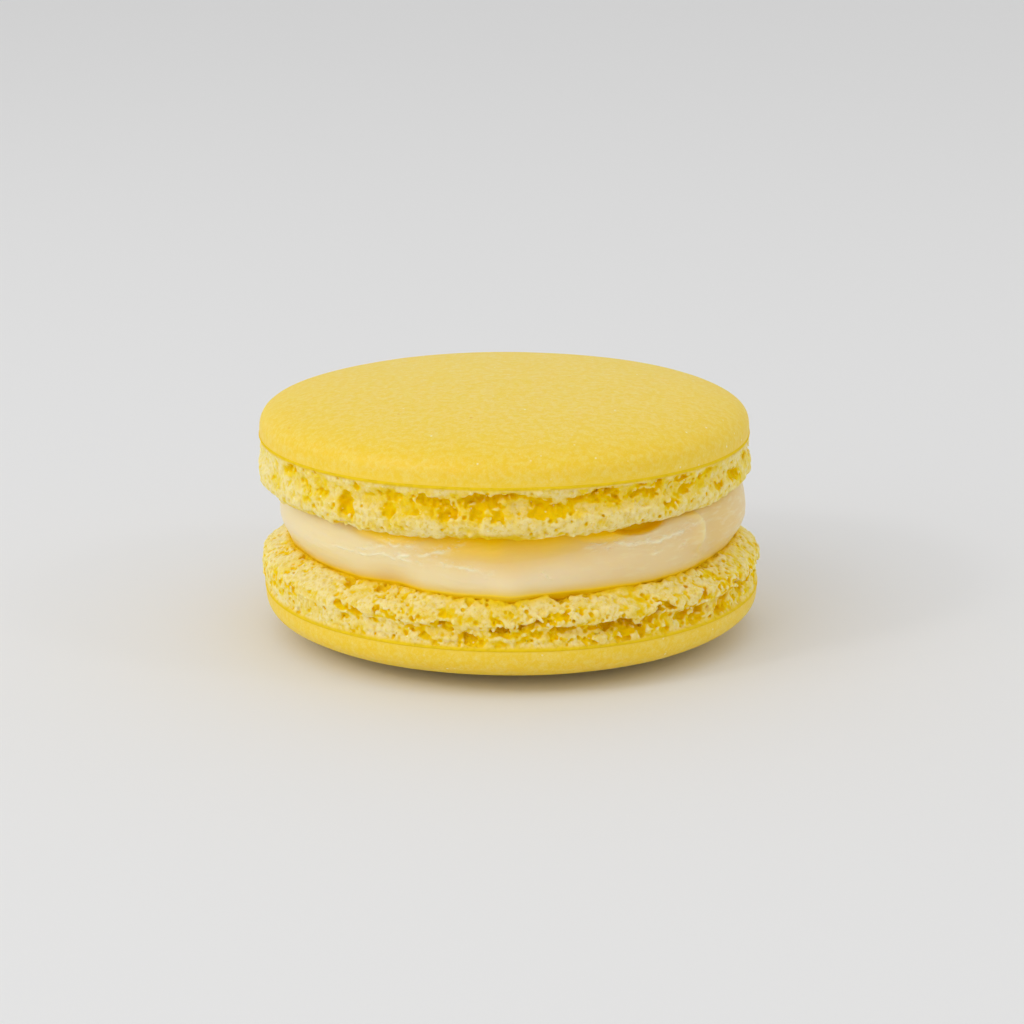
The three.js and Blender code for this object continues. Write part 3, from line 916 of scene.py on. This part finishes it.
def cream_painted_shade(angle, height, share):
    """Painted golden shade on the cream under the lip, in its pockets and along its foot, from 0
    to 1, and how much painted glow shows in that shade.
    """
    x, y = around(angle, CREAM_MEAN_RADIUS)
    uneven = point_noise(x, y, height, 1.5, 61)
    level = share + 0.035 * uneven
    above = 0.5 * smoothstep(level, 0.88, 1.0)
    for degrees, width, lowest in CREAM_LIP_SHADES:
        along = turn(angle, radians(degrees)) / radians(width)
        start = np.minimum(lowest + 0.1 * along ** 2, 0.85)
        rise = np.clip((level - start) / (0.9 - start), 0, 1) ** 1.4
        above = np.maximum(above, rise * np.exp(-along ** 4))
    glow = smoothstep(above, 0.35, 0.9)
    pocket = smoothstep(-cream_pockets(angle, share), 0.05, 0.4)
    above = np.maximum(above, 1.1 * pocket)
    low = share + 0.012 * uneven
    below = 0.35 * smoothstep(low, 0.36, 0.18) + 0.65 * smoothstep(low, 0.21, 0.14)
    return np.clip(np.maximum(0.8 * above, below), 0, 1), np.maximum(glow, 0.4 * pocket)


def make_cream():
    low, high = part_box("filling")
    thickness = (high.z - low.z) / MM
    side = spline([(radius, share * thickness) for radius, share in CREAM_SIDE], 400)
    side = resampled(side, CREAM_ROWS)
    outline = np.vstack([[(CREAM_INNER_RADIUS, 0)], side, [(CREAM_INNER_RADIUS, thickness)]])
    angle, radius, height = spun(outline, CREAM_SEGMENTS)
    share = height / thickness
    ridges, wrinkled = cream_creases(angle, share)
    folds, edges = cream_folds(angle, share)
    out = (cream_lobes(angle, share) + cream_pockets(angle, share) + folds
           + ridges + cream_ripples(angle, height))
    free = smoothstep(radius, CREAM_INNER_RADIUS, 20.0)
    radius += out * free
    golden_shade, glow = cream_painted_shade(angle, height, share)
    height += CREAM_LIFT * 0.5 * (1 + np.cos(angle)) * smoothstep(share, 0.4, 1) * free

    def place(points):
        return points * MM + np.array([0, 0, low.z])

    cream = closed_lathe("buttercream", radius, height, angle, place)
    paint_lathe(cream, angle.shape, {
        # painted golden shade under the lip, in the pockets and along the foot
        "golden_shade": (golden_shade, [1, 1]),
        "glow": (glow, [0, 0]),
        "wrinkled": (wrinkled, [0, 0]),
        # painted highlights on the ridges' crests and the folds' edges
        "crest": (np.clip(ridges / 0.055 + 0.2 * edges, 0, 1), [0, 0]),
        # painted light, palest on one side
        "lit_side": (facing(angle, CREAM_LIT_TOWARDS, 1), [0, 0]),
        "seam": (smoothstep(share, 0.36, CREAM_FOOT_SHARE), [1, 1]),
    })
    return cream


# ---- Materials ----

MIX_COLOURS_FROM, MIX_RESULT = 6, 2  # the mix node's sockets for colours


def material(name):
    made = bpy.data.materials.new(name)
    made.use_nodes = True
    tree = made.node_tree
    return made, tree, tree.nodes["Principled BSDF"]


def put(made, settings):
    """Sets inputs, by name or number, and properties of a node; links the sockets given."""
    for key, value in settings.items():
        if isinstance(value, bpy.types.NodeSocket):
            made.id_data.links.new(value, made.inputs[key])
        elif isinstance(key, int) or key in made.inputs:
            made.inputs[key].default_value = value
        else:
            setattr(made, key, value)
    return made


def node(tree, kind, **settings):
    return put(tree.nodes.new("ShaderNode" + kind), settings)


def ramp(fac, stops):
    made = node(fac.id_data, "ValToRGB", Fac=fac)
    elements = made.color_ramp.elements
    while len(elements) < len(stops):
        elements.new(0.5)
    for element, (at, colour) in zip(elements, stops):
        element.position = at
        element.color = linear(colour)
    return made.outputs["Color"]


def grey_ramp(fac, low, high):
    ends = {"From Min": low, "From Max": high}
    return node(fac.id_data, "MapRange", Value=fac, **ends).outputs["Result"]


def mixed(share, *colours):
    """Two colours, each a socket or a screen colour, mixed by a share from 0 to 1."""
    made = node(share.id_data, "Mix", data_type="RGBA", Factor=share)
    colours = [linear(c) if isinstance(c, tuple) else c for c in colours]
    return put(made, dict(enumerate(colours, MIX_COLOURS_FROM))).outputs[MIX_RESULT]


def linear(colour):
    """A screen colour, from 0 to 255, as the linear one that Blender mixes."""
    shares = [c / 255 for c in colour]
    return (*(s / 12.92 if s <= 0.04045 else ((s + 0.055) / 1.055) ** 2.4 for s in shares), 1)


def noise_texture(tree, per_mm, detail=3.0, stretch=None, roughness=0.5):
    vector = node(tree, "TexCoord").outputs["Object"]
    if stretch:
        vector = node(tree, "Mapping", Vector=vector, Scale=stretch).outputs["Vector"]
    return node(tree, "TexNoise", Vector=vector, Scale=per_mm / MM, Detail=detail,
                Roughness=roughness).outputs["Fac"]


def worked(operation, first, *others, clamp=False):
    """A sum on a socket and on other sockets or plain numbers."""
    made = node(first.id_data, "Math", operation=operation, use_clamp=clamp)
    return put(made, dict(enumerate((first, *others)))).outputs[0]


def specks(tree, per_mm, reach, edge, rarity):
    """Round specks: one in some of the cells of a loose net; reach and edge in mm."""
    vector = node(tree, "TexCoord").outputs["Object"]
    cells = node(tree, "TexVoronoi", Vector=vector, Scale=per_mm / MM)
    split = node(tree, "SeparateColor", Color=cells.outputs["Color"])
    near = grey_ramp(cells.outputs["Distance"], reach * per_mm, edge * per_mm)
    return worked("MULTIPLY", near, worked("GREATER_THAN", split.outputs["Red"], rarity))


def varied(fac, noise, share):
    """The number fac, moved up and down by a share of the noise."""
    moved = worked("MULTIPLY_ADD", noise, share, fac)
    return worked("SUBTRACT", moved, share / 2, clamp=True)


def attribute(tree, name):
    return node(tree, "Attribute", attribute_name=name).outputs["Fac"]


def bump(shader, heights):
    """Joins bumps, each (height socket, depth in mm), into the shader's normal."""
    normal = None
    for height, depth in heights:
        under = {"Normal": normal} if normal else {}
        normal = node(shader.id_data, "Bump", Strength=1.0, Distance=depth * MM,
                      Height=height, **under).outputs["Normal"]
    put(shader, {"Normal": normal})


def translucent(shader, weight, radius, scale):
    """Light spreads under the surface, up to the seams where two pieces meet; scale in mm."""
    away = worked("MULTIPLY_ADD", attribute(shader.id_data, "seam"), -1.0, 1.0)
    put(shader, {"Subsurface Weight": worked("MULTIPLY", away, weight),
                 "Subsurface Radius": radius, "Subsurface Scale": scale * MM})


def crust_material():
    made, tree, shader = material("meringue_crust")
    broad = noise_texture(tree, 0.14, 4.0)
    mottle = noise_texture(tree, 1.7, 6.0, roughness=0.85)
    fine = noise_texture(tree, 3.2, 3.0)
    # Paler towards the crown: a painted sheen.
    paleness = varied(attribute(tree, "crown"), broad, 0.9)
    patchy = mixed(grey_ramp(mottle, 0.44, 0.62),
                   ramp(paleness, CRUST_COLOURS), ramp(paleness, CRUST_MOTTLE))
    sugar = specks(tree, 0.75, 0.13, 0.06, 0.9)
    more = worked("MULTIPLY", specks(tree, 1.1, 0.13, 0.05, 0.7), attribute(tree, "sugared"))
    sugared = mixed(worked("MAXIMUM", sugar, more), patchy, CRUST_SUGAR)
    # Pinholes: painted shade, with no hole in the mesh.
    pricked = mixed(specks(tree, 0.32, 0.18, 0.09, 0.7), sugared, CRUST_PINHOLE_SHADE)
    # Painted golden shade along the crease.
    shade_painted = mixed(attribute(tree, "golden_shade"), pricked, CRUST_CREASE_SHADE)
    put(shader, {"Base Color": shade_painted, "Roughness": 0.55, "Specular IOR Level": 0.7})
    translucent(shader, 0.6, (1.0, 0.75, 0.25), 0.7)
    bump(shader, [(mottle, 0.012), (fine, 0.012)])
    return made


def crumb_material():
    made, tree, shader = material("meringue_crumb")
    grain = noise_texture(tree, 4.5, 4.0, roughness=0.7)
    dimples = noise_texture(tree, 3.2, 3.0, roughness=0.6)
    blots = noise_texture(tree, 0.9, 4.0, roughness=0.65)
    # Painted golden shade in the pits, about the cavities and in the channel, with a random
    # mottle.
    coloured = ramp(varied(attribute(tree, "recess_shade_and_mottle"), grain, 0.8), CRUMB_COLOURS)
    # Painted highlight: paler where the crumb stands out from its nooks.
    ridge_lit = mixed(grey_ramp(attribute(tree, "nook"), 0.42, 0.2), coloured, CRUMB_RIDGE_HIGHLIGHT)
    # Painted shade in small pits made only by bumps, and golden blots of tone.
    pitted = worked("MAXIMUM", grey_ramp(dimples, 0.55, 0.62),
                    worked("MULTIPLY", grey_ramp(blots, 0.57, 0.65), 0.5))
    dimpled = mixed(worked("MULTIPLY", pitted, 0.6), ridge_lit, CRUMB_DIMPLE)
    # Painted highlights: tiny bright specks of sparkle.
    sparkling = mixed(specks(tree, 1.6, 0.11, 0.03, 0.7), dimpled, CRUMB_SPARKLE_HIGHLIGHT)
    # Painted golden shade below the crease and along the cream.
    shade_painted = mixed(attribute(tree, "golden_shade"), sparkling, CRUMB_JOIN_SHADE)
    put(shader, {"Base Color": shade_painted, "Roughness": 0.8, "Specular IOR Level": 0.1})
    translucent(shader, 1.0, (1.0, 0.95, 0.35), 0.3)
    bump(shader, [(grain, 0.04), (worked("MULTIPLY", pitted, -1.0), 0.035)])
    return made


def cream_material():
    made, tree, shader = material("buttercream")
    golden_shade, wrinkled = attribute(tree, "golden_shade"), attribute(tree, "wrinkled")
    streaks = noise_texture(tree, 0.5, 4.0, stretch=(1, 1, 5), roughness=0.6)
    crinkles = noise_texture(tree, 2.0, 3.0, stretch=(1, 1, 2.5))
    # Painted light: paler towards the lit side.
    lit_side = varied(attribute(tree, "lit_side"), noise_texture(tree, 0.12, 3.0), 0.3)
    streaked = mixed(grey_ramp(streaks, 0.5, 0.75),
                     ramp(lit_side, CREAM_COLOURS), CREAM_STREAK)
    # Painted golden shade under the lip, in the pockets and along the cream's foot.
    golden = ramp(golden_shade, CREAM_SHADE_COLOURS)
    coloured = mixed(grey_ramp(golden_shade, 0.0, 0.3), streaked, golden)
    # Painted highlights: glints on the crests and fold edges, and flecks in the wrinkled skin.
    flecks = worked("MULTIPLY", grey_ramp(crinkles, 0.53, 0.65), wrinkled)
    glints = worked("MAXIMUM", flecks, attribute(tree, "crest"))
    gleaming = mixed(worked("MULTIPLY", glints, 0.8), coloured, CREAM_GLINT)
    # A faint glow stands in for the light that comes through the lip into the shade under it.
    glow = ramp(attribute(tree, "glow"), CREAM_GLOW)
    put(shader, {"Base Color": gleaming, "Emission Color": glow, "Emission Strength": 1.0,
                 "Roughness": worked("MULTIPLY_ADD", glints, -0.12, 0.32)})
    translucent(shader, 1.0, (1.0, 0.9, 0.5), 1.5)
    bump(shader, [(streaks, 0.02), (flecks, 0.05)])
    return made


def floor_material():
    made, _, shader = material("floor")
    put(shader, {"Base Color": FLOOR_GREY, "Roughness": 0.9})
    return made


# ---- Camera, light and floor ----

CAMERA_ELEVATION = 15.1
CAMERA_ROLL = -0.19
CAMERA_TARGET = (0.14, 0, 10.45)  # mm
CAMERA_DISTANCE = 225.8  # mm
CAMERA_FOCAL_SHARE = 2415 / 1024  # focal length as a share of the sensor's width
SENSOR_WIDTH = 36  # mm
LIGHTS = [  # (name, place, size, power): metres and watts
    ("key", (-0.5, -0.4, 0.45), 0.7, 1.35),
    ("gleam_left", (-0.5, -0.32, 0.42), 0.09, 0.35),
    ("gleam_right", (0.5, -0.2, 0.42), 0.09, 0.15),
]
LIGHT_TARGET = (0, 0, 0.01)
SKY_STRENGTH = 0.74
FLOOR_HALF = 2.0  # metres


def aim(made, target):
    direction = Vector(target) - made.location
    made.rotation_mode = "QUATERNION"
    made.rotation_quaternion = direction.to_track_quat("-Z", "Y")


def add_camera():
    data = bpy.data.cameras.new("camera")
    camera = add_object("camera", data)
    lift = radians(CAMERA_ELEVATION)
    target = Vector(CAMERA_TARGET) * MM
    camera.location = target + Vector((0, -cos(lift), sin(lift))) * CAMERA_DISTANCE * MM
    aim(camera, target)
    roll = Matrix.Rotation(radians(CAMERA_ROLL), 4, "Z").to_quaternion()
    camera.rotation_quaternion = camera.rotation_quaternion @ roll
    data.sensor_width = SENSOR_WIDTH
    data.lens = SENSOR_WIDTH * CAMERA_FOCAL_SHARE
    data.clip_start = 0.01
    bpy.context.scene.camera = camera


def add_area_light(name, place, size, power):
    data = bpy.data.lights.new(name, "AREA")
    data.shape = "SQUARE"
    data.size = size
    data.energy = power
    lamp = add_object(name, data)
    lamp.location = place
    aim(lamp, LIGHT_TARGET)


def add_light():
    world = bpy.data.worlds.new("studio")
    bpy.context.scene.world = world
    world.use_nodes = True
    put(world.node_tree.nodes["Background"], {"Color": (1, 1, 1, 1), "Strength": SKY_STRENGTH})
    for light in LIGHTS:
        add_area_light(*light)
    bpy.context.scene.view_settings.view_transform = "Standard"


def add_floor():
    points = FLOOR_HALF * np.array([[-1, -1, 0], [1, -1, 0], [1, 1, 0], [-1, 1, 0]])
    floor = mesh_object("floor", points, [np.array([[0, 1, 2, 3]])], smooth=False)
    floor.data.materials.append(floor_material())


# ---- Building ----

def dress(piece, made, replaced):
    piece.data.materials.append(made)
    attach(piece, "root")
    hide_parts(replaced)


crust, crumb, cream = crust_material(), crumb_material(), cream_material()
for shell, cavities in ((TOP_SHELL, TOP_CAVITIES), (BOTTOM_SHELL, BOTTOM_CAVITIES)):
    dress(make_crust(shell), crust, shell.node)
    dress(make_foot(shell, cavities), crumb, shell.node)
dress(make_cream(), cream, "filling")

add_camera()
add_light()
add_floor()
